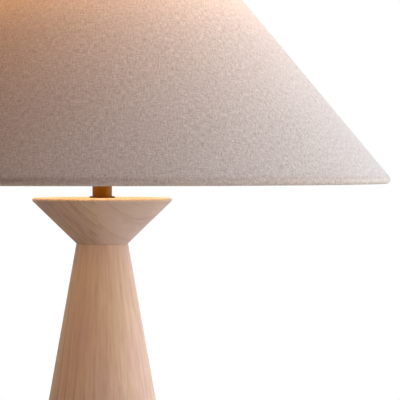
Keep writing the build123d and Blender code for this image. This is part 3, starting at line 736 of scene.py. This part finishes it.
# How dark a year's wood is, as (share of the year, darkness), and how dark it is on average.
RING_SHAPE = ((0.0, 0.3), (0.65, 0.45), (0.92, 1.0), (1.0, 0.3))
RING_AVERAGE = 0.5
RING_FADE = 0.3
RING_LEAST_SHOWN = 0.2
BAND_SHARE = 0.4
FINE_FROM, FINE_TO = 0.3, 0.68
PATCH_FROM, PATCH_TO = 0.3, 0.7


def ring_lines(tree, place, grain_place, board, widths, starts, clear_way, clear_from):
    """Darker late wood at the end of each year, which grows clearer one way through the piece."""
    crowding = mottle(tree, grain_place, CROWDING)
    deep = add(tree, "Math", {"operation": "MULTIPLY_ADD"},
               {0: crowding, 1: CROWDING_DEPTH,
                2: (add(tree, "SeparateXYZ", None, {0: grain_place}), "X")})
    years = add(tree, "Math", {"operation": "MULTIPLY_ADD"},
                {0: deep, 1: by_board(tree, board, "FLOAT", [1 / width for width in widths]),
                 2: by_board(tree, board, "FLOAT", starts)})
    in_year = add(tree, "Math", {"operation": "FRACT"}, {0: years})
    late = add(tree, "ValToRGB", None, {"Fac": in_year})
    stops = late.color_ramp.elements
    while len(stops) < len(RING_SHAPE):
        stops.new(0.5)
    for stop, (position, value) in zip(stops, RING_SHAPE):
        stop.position = position
        stop.color = (value, value, value, 1)
    toward = add(tree, "VectorMath", {"operation": "DOT_PRODUCT"}, {0: place, 1: clear_way})
    shown = add(tree, "Math", {"operation": "ADD"},
                {0: mottle(tree, place, RING_PATCH), 1: (toward, "Value")})
    shown = add(tree, "MapRange", None,
                {"Value": shown, "From Min": clear_from - RING_FADE, "From Max": clear_from,
                 "To Min": RING_LEAST_SHOWN})
    return add(tree, "Mix", {"data_type": "FLOAT"},
               {"Factor": shown, "A": RING_AVERAGE, "B": late})


def wood(name, barks, widths, starts, ring_shares, pales, darks, clear_way, clear_from,
         taper=False):
    # Ash, turned and oiled: pale brown with a satin gloss, fine streaks and a few darker rings.
    material, tree, output, place = new_material(name)
    across = (add(tree, "SeparateXYZ", None, {0: place}), "X")
    board = add(tree, "MapRange", None,
                {"Value": across, "From Min": GLUE_LINE - GLUE_LINE_BLUR,
                 "From Max": GLUE_LINE + GLUE_LINE_BLUR})
    # The boards were picked to match at the joint, so their tones part only away from it.
    tone_side = add(tree, "MapRange", None,
                    {"Value": across, "From Min": GLUE_LINE - TONE_BLUR,
                     "From Max": GLUE_LINE + TONE_BLUR})
    grain_place = ring_space(tree, place, board, barks, taper)
    late = ring_lines(tree, place, grain_place, board, widths, starts, clear_way, clear_from)
    streaks = mottle(tree, grain_place, STREAK, 3.0)
    bands = mottle(tree, grain_place, BAND, 1.0)
    fine = add(tree, "Mix", {"data_type": "FLOAT"},
               {"Factor": BAND_SHARE, "A": streaks, "B": bands})
    fine = add(tree, "MapRange", None, {"Value": fine, "From Min": FINE_FROM, "From Max": FINE_TO})
    grain = add(tree, "Mix", {"data_type": "FLOAT"},
                {"Factor": by_board(tree, tone_side, "FLOAT", ring_shares), "A": fine, "B": late})
    tone = add(tree, "Mix", {"data_type": "RGBA"},
               {"Factor": grain,
                "A": by_board(tree, tone_side, "RGBA", [linear(pale) for pale in pales]),
                "B": by_board(tree, tone_side, "RGBA", [linear(dark) for dark in darks])})
    # Oil soaks in unevenly, so some patches look pinker and others yellower.
    patches = add(tree, "MapRange", None,
                  {"Value": mottle(tree, place, PATCH), "From Min": PATCH_FROM,
                   "From Max": PATCH_TO})
    cast = add(tree, "Mix", {"data_type": "RGBA"},
               {"Factor": patches, "A": linear("#f6f0f4"), "B": linear("#fffff5")})
    tone = add(tree, "Mix", {"data_type": "RGBA", "blend_type": "MULTIPLY"},
               {"Factor": 1.0, "A": tone, "B": cast})
    relief = add(tree, "Bump", None, {"Height": streaks, "Strength": 0.08, "Distance": 0.1 * MM})
    gloss = add(tree, "MapRange", None, {"Value": streaks, "To Min": 0.48, "To Max": 0.62})
    body = add(tree, "BsdfPrincipled", None,
               {"Base Color": tone, "Roughness": gloss, "Normal": relief,
                "Specular IOR Level": 0.2})
    finish_with(tree, output, body)
    return material


# %% Two boards each for the column and the capital
dress(wood("ash_turned_oiled_column",
           barks=((0.97, -0.245, 0.0), (0.866, 0.5, 0.0)), widths=(8 * MM, 7 * MM),
           starts=(0.0, 0.0), ring_shares=(0.65, 0.45), pales=("#e7c6ab", "#e0bea6"),
           darks=("#b79379", "#ba967a"), clear_way=(-6.0, 2.0, -5.0), clear_from=-0.6,
           taper=True), "column")
dress(wood("ash_turned_oiled_capital",
           barks=((0.7, -0.714, 0.0), (0.78, -0.62, 0.0)), widths=(8.5 * MM, 20 * MM),
           starts=(0.49, 0.08), ring_shares=(0.5, 0.6), pales=("#d7b99f", "#d3b6a2"),
           darks=("#a8866b", "#be9e88"), clear_way=(8.0, 0.0, 0.0), clear_from=0.45), "capital")

# %% [markdown]
# ## The foot
# Under the lamp a disc of pressed wool felt covers the weight and keeps the table from scratches.
# A flat CAD disc has a knife edge, and felt doesn't: its cut edge swells a little and its underside
# follows what is behind it. So it is turned with a round, slightly uneven rim and a faintly wavy
# underside. The weight behind it is cast iron, straight from the sand.

# %% Felt disc
FELT_COLUMNS = 120
FELT_SHARES = (0.08, 0.3, 0.5, 0.68, 0.82, 0.92)
FELT_EDGE_STEPS = 8
FELT_SHARP_EDGE = radians(60)
FELT_WAVE = 0.12 * MM
FELT_WAVES_ROUND = 3
FELT_WAVE_TWIST = 40
FELT_RIM_WAVE = 0.25 * MM
FELT_RIM_WAVES = (7, 17)

felt_low, felt_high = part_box("felt_pad")


def felt_disc():
    """A disc with a round, uneven rim and a faintly wavy underside."""
    radius, half = felt_high.x, (felt_high.z - felt_low.z) / 2
    flat = radius - half
    slow, quick = FELT_RIM_WAVES

    def ring(reach, height):
        points = []
        for a in around(FELT_COLUMNS):
            twist = FELT_WAVE_TWIST * reach / radius
            wave = FELT_WAVE * (1 + sin(FELT_WAVES_ROUND * a + twist)) / 2
            rim = FELT_RIM_WAVE * (0.5 + 0.5 * sin(slow * a) * sin(quick * a + 1)) * reach / radius
            lift = wave if height < half and reach < flat else 0.0
            points.append(((reach - rim) * cos(a), (reach - rim) * sin(a), height + lift))
        return points

    below = [ring(flat * share, 0.0) for share in FELT_SHARES]
    turns = [pi * i / FELT_EDGE_STEPS - pi / 2 for i in range(FELT_EDGE_STEPS + 1)]
    edge = [ring(flat + half * cos(t), half + half * sin(t)) for t in turns]
    above = [ring(flat * share, 2 * half) for share in reversed(FELT_SHARES)]
    mesh = skin("felt_foot", below + edge + above, closed=False)
    tidy_faces(mesh, FELT_SHARP_EDGE)
    return mesh


felt = place_piece(felt_disc(), "lamp", "felt", "felt_pad")

# %% Felt and cast iron
FELT_FIBRE = 1.0 * MM
FELT_TUFT = 9 * MM
TUFT_SHARE = 0.4
SAND = 1.4 * MM


def wool_felt():
    # Wool pressed to felt: no gloss at all, tangled fibres, and a soft pale edge of loose hairs.
    material, tree, output, place = new_material("wool_felt_pressed")
    fibres = mottle(tree, place, FELT_FIBRE, 4.0)
    tufts = mottle(tree, place, FELT_TUFT)
    wool = add(tree, "Mix", {"data_type": "FLOAT"},
               {"Factor": TUFT_SHARE, "A": fibres, "B": tufts})
    tone = add(tree, "Mix", {"data_type": "RGBA"},
               {"Factor": wool, "A": linear("#3d2f26"), "B": linear("#6b5747")})
    relief = add(tree, "Bump", None, {"Height": fibres, "Strength": 0.6, "Distance": 0.3 * MM})
    body = add(tree, "BsdfPrincipled", None,
               {"Base Color": tone, "Roughness": 1.0, "Normal": relief, "Specular IOR Level": 0.1,
                "Sheen Weight": 0.3, "Sheen Roughness": 0.6, "Sheen Tint": linear("#c9b7a4")})
    finish_with(tree, output, body)
    return material


def cast_iron():
    # Grey iron as it comes from a sand mould: dark, grainy, with a dull metallic shine.
    material, tree, output, place = new_material("iron_sand_cast")
    sand = mottle(tree, place, SAND, 3.0)
    tone = add(tree, "Mix", {"data_type": "RGBA"},
               {"Factor": sand, "A": linear("#3c3a38"), "B": linear("#6a6662")})
    relief = add(tree, "Bump", None, {"Height": sand, "Strength": 0.5, "Distance": 0.3 * MM})
    body = add(tree, "BsdfPrincipled", None,
               {"Base Color": tone, "Metallic": 1.0, "Roughness": 0.62, "Normal": relief})
    finish_with(tree, output, body)
    return material


felt.data.materials.append(wool_felt())
dress(cast_iron(), "base_weight")

# %% [markdown]
# ## Brass
# The neck, the lampholder, the harp and the finial are brass, each worked in its own way: turned on
# a lathe, pressed from sheet, or drawn to wire. What tells them apart is the direction of the fine
# marks, so one recipe takes the marks' size along each axis. The neck is painted a dark brown,
# partly browned lacquer and partly painted shade, since it stands in the shade under the lampshade;
# the thin ring under it is painted darker still, as painted shade. The marks are a few hundredths
# of a millimetre wide and are drawn much coarser, so that they show.

# %% Brass material
STAIN = 14 * MM
STAIN_FROM, STAIN_TO = 0.35, 0.65
MARKS_FROM, MARKS_TO = 0.3, 0.7
MARKS_BLUR = 0.07
TURNED = (30 * MM, 30 * MM, 0.7 * MM)
PRESSED = (1.2 * MM, 1.2 * MM, 9 * MM)
DRAWN = (0.8 * MM, 0.8 * MM, 30 * MM)


def brass(name, bright, aged, marks, rough, edge, bare=1.0):
    # Brass under lacquer: a warm yellow-brown mirror, blurred by its tool marks, with stains.
    material, tree, output, place = new_material(name)
    lines = mottle(tree, place, marks, 3.0)
    stains = mottle(tree, place, STAIN, 3.0)
    stains = add(tree, "MapRange", None,
                 {"Value": stains, "From Min": STAIN_FROM, "From Max": STAIN_TO})
    tone = add(tree, "Mix", {"data_type": "RGBA"},
               {"Factor": stains, "A": linear(bright), "B": linear(aged)})
    blur = add(tree, "MapRange", None,
               {"Value": lines, "From Min": MARKS_FROM, "From Max": MARKS_TO,
                "To Min": rough - MARKS_BLUR, "To Max": rough + MARKS_BLUR})
    relief = add(tree, "Bump", None, {"Height": lines, "Strength": 0.06, "Distance": 0.05 * MM})
    body = add(tree, "BsdfPrincipled", None,
               {"Base Color": tone, "Metallic": bare, "Roughness": blur, "Normal": relief,
                "Specular Tint": linear(edge)})
    finish_with(tree, output, body)
    return material


# The neck's dark brown and the ring's darker tone, with their dim edge tints, are partly painted
# shade.
dress(brass("brass_turned_browned_painted_shade", "#824d08", "#734406", TURNED, 0.36, "#897d6c", 0.55), "neck")
dress(brass("brass_turned_painted_shadow", "#6a380a", "#4c2806", TURNED, 0.42, "#6a4420"), "check_ring")
dress(brass("brass_turned_lacquered", "#c99a4e", "#b58640", TURNED, 0.24, "#e0c090"),
      "finial", "harp_stud", "spider_washer", "switch_spindle", "ferrule_left", "ferrule_right")
dress(brass("brass_pressed_lacquered", "#bf9148", "#ab7d3a", PRESSED, 0.3, "#e0c090"),
      "socket_cap", "socket_shell", "harp_saddle", "screw_shell", "centre_contact")
dress(brass("brass_wire_drawn", "#b98b44", "#a27536", DRAWN, 0.32, "#e0c090"),
      "harp_bow", "spider_arms")

# %% [markdown]
# ## Steel, nylon, fibre and moulded black
# The rest of the lamp is small hardware. The threaded pipe, its nut and washer and the terminal
# screws are steel with a thin zinc plating. The cord's inlet has a bushing of moulded nylon. Inside
# the lampholder a sleeve of vulcanised fibre keeps the core from the shell, and core and knob are
# moulded from black phenolic resin. Each has a pattern of its own, small enough to be felt more
# than seen.

# %% Hardware materials
SPANGLE = 2.5 * MM
MOULD_GRAIN = 0.8 * MM
MOULD_GLOSS = 0.06
PAPER_FIBRE = (0.7 * MM, 0.7 * MM, 5 * MM)
FLOW = 6 * MM


def zinc():
    # Bright zinc plating on steel: a cool grey shine, slightly blotchy from its crystals.
    material, tree, output, place = new_material("steel_zinc_plated")
    blotch = mottle(tree, place, SPANGLE, 3.0)
    tone = add(tree, "Mix", {"data_type": "RGBA"},
               {"Factor": blotch, "A": linear("#a9abaa"), "B": linear("#cdcfcc")})
    blur = add(tree, "MapRange", None, {"Value": blotch, "To Min": 0.22, "To Max": 0.44})
    body = add(tree, "BsdfPrincipled", None,
               {"Base Color": tone, "Metallic": 1.0, "Roughness": blur})
    finish_with(tree, output, body)
    return material


def moulded(name, low, high, rough, grain):
    # A moulded plastic: one deep colour, the mould's fine grain in its gloss and faint flow marks.
    material, tree, output, place = new_material(name)
    pebbles = mottle(tree, place, grain)
    flow = mottle(tree, place, FLOW)
    tone = add(tree, "Mix", {"data_type": "RGBA"},
               {"Factor": flow, "A": linear(low), "B": linear(high)})
    gloss = add(tree, "MapRange", None,
                {"Value": pebbles, "To Min": rough - MOULD_GLOSS, "To Max": rough + MOULD_GLOSS})
    relief = add(tree, "Bump", None, {"Height": pebbles, "Strength": 0.08, "Distance": 0.05 * MM})
    body = add(tree, "BsdfPrincipled", None,
               {"Base Color": tone, "Roughness": gloss, "Normal": relief})
    finish_with(tree, output, body)
    return material


def fibre():
    # Vulcanised fibre, pressed from paper: a dry reddish brown with the paper's long fibres.
    material, tree, output, place = new_material("fibre_vulcanised_pressed")
    strands = mottle(tree, place, PAPER_FIBRE, 4.0)
    tone = add(tree, "Mix", {"data_type": "RGBA"},
               {"Factor": strands, "A": linear("#5e4632"), "B": linear("#8a6c50")})
    relief = add(tree, "Bump", None, {"Height": strands, "Strength": 0.3, "Distance": 0.1 * MM})
    body = add(tree, "BsdfPrincipled", None,
               {"Base Color": tone, "Roughness": 0.75, "Normal": relief})
    finish_with(tree, output, body)
    return material


dress(zinc(), "lamp_pipe", "pipe_washer", "pipe_nut", "terminal_screws")
dress(moulded("nylon_moulded_brown", "#231a15", "#33271f", 0.42, MOULD_GRAIN), "cord_bushing")
dress(moulded("phenolic_moulded_black", "#14110f", "#221d1a", 0.24, MOULD_GRAIN),
      "socket_core", "switch_knob")
dress(fibre(), "shell_liner")

# %% [markdown]
# ## The bulb's cap
# The cap of a screw bulb is thin aluminium, and its thread is not cut but rolled into the sheet,
# so it is as round as a rope and shows inside as well. The CAD cap is a plain cup, because the bulb
# only turns there. Here each ring of the cup follows a wave that moves on by one pitch per turn,
# which is all that a rolled thread is.

# %% Rolled thread
CAP_WALL = 0.5 * MM
THREAD_PITCH = 3.62 * MM
THREAD_HEIGHT = 0.42 * MM
CAP_MARGIN = 0.05 * MM
CAP_PLAIN = 2.6 * MM
CAP_FLOOR_RADIUS = 6.5 * MM
CAP_BEND = 2.0 * MM
CAP_BEND_STEPS = 6
CAP_COLUMNS = 64
CAP_ROWS = 56

cap_low, cap_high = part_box("bulb_base")


def thread_wave(height, angle):
    """How far the rolled sheet stands out from its mean radius."""
    above, below = cap_high.z - height, height - cap_low.z - CAP_BEND
    share = max(0.0, min(1.0, (above - CAP_PLAIN / 2) / CAP_PLAIN, below / CAP_PLAIN))
    return THREAD_HEIGHT * share * cos(2 * pi * height / THREAD_PITCH - angle)


def bulb_cap():
    """A cup of thin sheet with a thread rolled into its wall."""
    mean = cap_high.x - CAP_MARGIN - THREAD_HEIGHT
    angles = around(CAP_COLUMNS)

    def ring(radius, height, inset):
        turned = [radius - inset + thread_wave(height, a) for a in angles]
        return [(r * cos(a), r * sin(a), height) for r, a in zip(turned, angles)]

    def wall(inset):
        bends = [pi / 2 * i / CAP_BEND_STEPS for i in range(CAP_BEND_STEPS + 1)]
        rings = [ring(CAP_FLOOR_RADIUS, cap_low.z + inset, 0.0)]
        rings += [ring(mean - CAP_BEND + (CAP_BEND - inset) * sin(b),
                       cap_low.z + CAP_BEND - (CAP_BEND - inset) * cos(b), 0.0) for b in bends]
        rise = cap_high.z - cap_low.z - CAP_BEND
        heights = [cap_low.z + CAP_BEND + rise * i / CAP_ROWS for i in range(1, CAP_ROWS + 1)]
        return rings + [ring(mean, h, inset) for h in heights]

    mesh = skin("bulb_screw_cap", wall(0.0) + wall(CAP_WALL)[::-1])
    tidy_faces(mesh)
    return mesh


cap = place_piece(bulb_cap(), "bulb", "aluminium", "bulb_base")

# %% [markdown]
# ## Glass and light
# The bulb's glass is etched inside, so it hides the light source and glows as a whole: strongest
# round the middle, where the filaments stand, and weaker and yellower towards the neck. That
# follows the height on the bulb, not the viewer. Behind the glass are a clear stem and coated
# filaments, and below the cap an insulator of black glass with a tip of metal.

# %% Bulb materials
ETCH = 1.0 * MM
SPINNING = (20 * MM, 20 * MM, 0.6 * MM)
GLASS_WAVE = (3 * MM, 3 * MM, 12 * MM)
GLASS_IOR = 1.52
COATING = 0.9 * MM
GLOBE_GLOW = 4.0
FILAMENT_GLOW = 6.0


def drawn_aluminium():
    # Aluminium sheet, drawn and rolled: a soft, light grey shine with marks round the axis.
    material, tree, output, place = new_material("aluminium_drawn")
    marks = mottle(tree, place, SPINNING, 3.0)
    tone = add(tree, "Mix", {"data_type": "RGBA"},
               {"Factor": marks, "A": linear("#bfc0c0"), "B": linear("#dcdcdb")})
    blur = add(tree, "MapRange", None, {"Value": marks, "To Min": 0.26, "To Max": 0.42})
    body = add(tree, "BsdfPrincipled", None,
               {"Base Color": tone, "Metallic": 1.0, "Roughness": blur})
    finish_with(tree, output, body)
    return material


def frosted_glass():
    # Glass etched inside and lit: a smooth skin over an even warm glow.
    material, tree, output, place = new_material("glass_etched_lit")
    spot = add(tree, "SeparateXYZ", None, {0: place})
    rise = add(tree, "MapRange", {"interpolation_type": "SMOOTHSTEP"},
               {"Value": (spot, "Z"), "From Min": globe_low.z, "From Max": bulb_middle.z})
    glow = add(tree, "Mix", {"data_type": "RGBA"},
               {"Factor": rise, "A": linear("#c98f52"), "B": linear("#ffdfae")})
    etch = mottle(tree, place, ETCH)
    tone = add(tree, "Mix", {"data_type": "RGBA"},
               {"Factor": etch, "A": linear("#f2ece0"), "B": linear("#faf6ee")})
    gloss = add(tree, "MapRange", None, {"Value": etch, "To Min": 0.2, "To Max": 0.3})
    body = add(tree, "BsdfPrincipled", None,
               {"Base Color": tone, "Roughness": gloss, "IOR": GLASS_IOR,
                "Emission Color": glow, "Emission Strength": GLOBE_GLOW})
    finish_with(tree, output, body)
    return material


def clear_glass():
    # Drawn glass, fire polished: clear, smooth and faintly wavy.
    material, tree, output, place = new_material("glass_fire_polished")
    waves = mottle(tree, place, GLASS_WAVE)
    tone = add(tree, "Mix", {"data_type": "RGBA"},
               {"Factor": waves, "A": linear("#eef4f2"), "B": linear("#fbfdfc")})
    relief = add(tree, "Bump", None, {"Height": waves, "Strength": 0.1, "Distance": 0.2 * MM})
    body = add(tree, "BsdfPrincipled", None,
               {"Base Color": tone, "Roughness": 0.03, "IOR": GLASS_IOR,
                "Transmission Weight": 1.0, "Normal": relief})
    finish_with(tree, output, body)
    return material


def phosphor():
    # Filaments under a cast layer of phosphor: an egg yellow, grainy, and lit.
    material, tree, output, place = new_material("phosphor_cast_lit")
    grains = mottle(tree, place, COATING, 3.0)
    tone = add(tree, "Mix", {"data_type": "RGBA"},
               {"Factor": grains, "A": linear("#e0a93a"), "B": linear("#f6cf6a")})
    body = add(tree, "BsdfPrincipled", None,
               {"Base Color": tone, "Roughness": 0.7, "Emission Color": tone,
                "Emission Strength": FILAMENT_GLOW})
    finish_with(tree, output, body)
    return material


aluminium = drawn_aluminium()
cap.data.materials.append(aluminium)
dress(aluminium, "bulb_contact")
dress(moulded("glass_pressed_black", "#08080a", "#141418", 0.12, MOULD_GRAIN), "bulb_insulator")
dress(frosted_glass(), "bulb_globe")
dress(clear_glass(), "bulb_stem")
dress(phosphor(), "bulb_filaments")
